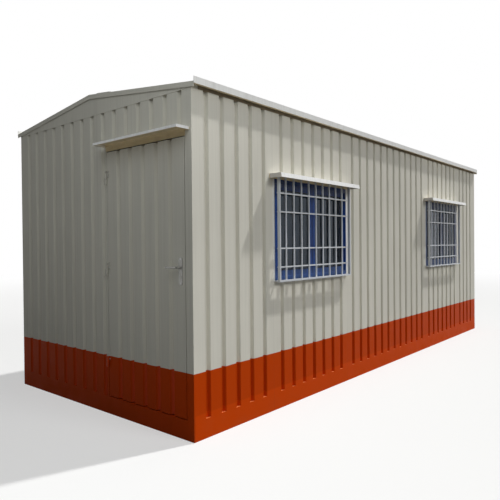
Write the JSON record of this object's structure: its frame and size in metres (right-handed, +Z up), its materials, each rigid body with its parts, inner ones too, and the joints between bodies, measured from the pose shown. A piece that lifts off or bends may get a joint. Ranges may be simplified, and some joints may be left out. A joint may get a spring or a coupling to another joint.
{
  "type": "prefabricated site office",
  "caption": "Hollow site cabin of ribbed steel sheet on a channel base, low gabled roof, hinged door in one gable and two barred windows under small canopies.",
  "frame": {"origin": "middle of the cabin's footprint, on the underside of the middle floor joist at ground level", "axes": "+Y along the cabin from the door gable to the back, +X towards the window wall, +Z up"},
  "size_m": [2.604, 6.228, 2.6547],
  "materials": {
    "wall_paint": "satin",
    "base_paint": "satin",
    "trim_paint": "satin",
    "window_paint": "gloss",
    "glass": "gloss",
    "lining_board": "satin",
    "floor_board": "matte",
    "frame_steel": "matte",
    "hardware_steel": "satin"
  },
  "bodies": {
    "cabin": {"corner_posts": "wall_paint", "right_wall_near_end": "wall_paint", "right_wall_at_window_1": "wall_paint", "right_wall_middle": "wall_paint", "right_wall_at_window_2": "wall_paint", "right_wall_far_end": "wall_paint", "left_wall": "wall_paint", "gable_wall_beside_door": "wall_paint", "gable_wall_over_door": "wall_paint", "back_wall": "wall_paint", "gable_plate": "wall_paint", "back_gable_plate": "wall_paint", "door_jamb_hinge_side": "wall_paint", "door_jamb_lock_side": "wall_paint", "base_side_rails": "base_paint", "base_end_rails": "base_paint", "roof_sheet_left": "trim_paint", "roof_sheet_right": "trim_paint", "ridge_cap": "trim_paint", "eave_trim_left": "trim_paint", "eave_trim_right": "trim_paint", "verge_trim_front": "trim_paint", "verge_trim_back": "trim_paint", "window_grille_1": "trim_paint", "window_grille_2": "trim_paint", "window_canopy_1": "trim_paint", "window_canopy_2": "trim_paint", "door_canopy": "trim_paint", "window_frame_1": "window_paint", "window_frame_2": "window_paint", "window_sashes_1": "window_paint", "window_sashes_2": "window_paint", "window_glass_1": "glass", "window_glass_2": "glass", "right_lining": "lining_board", "left_lining": "lining_board", "gable_lining_beside_door": "lining_board", "gable_lining_over_door": "lining_board", "back_lining": "lining_board", "ceiling": "lining_board", "floor_board": "floor_board", "floor_joists": "frame_steel", "eave_rails": "frame_steel", "door_head": "frame_steel", "hinge_pins": "hardware_steel"},
    "door": {"door_leaf": "wall_paint", "door_lock": "hardware_steel", "hinge_sleeves": "hardware_steel"}
  },
  "joints": [
    {"name": "door_hinge", "type": "hinge", "parent": "cabin", "child": "door", "pos_m": [0.2255, -3.058, 1.15], "axis": [0, 0, -1], "range_deg": [0, 165]}
  ]
}
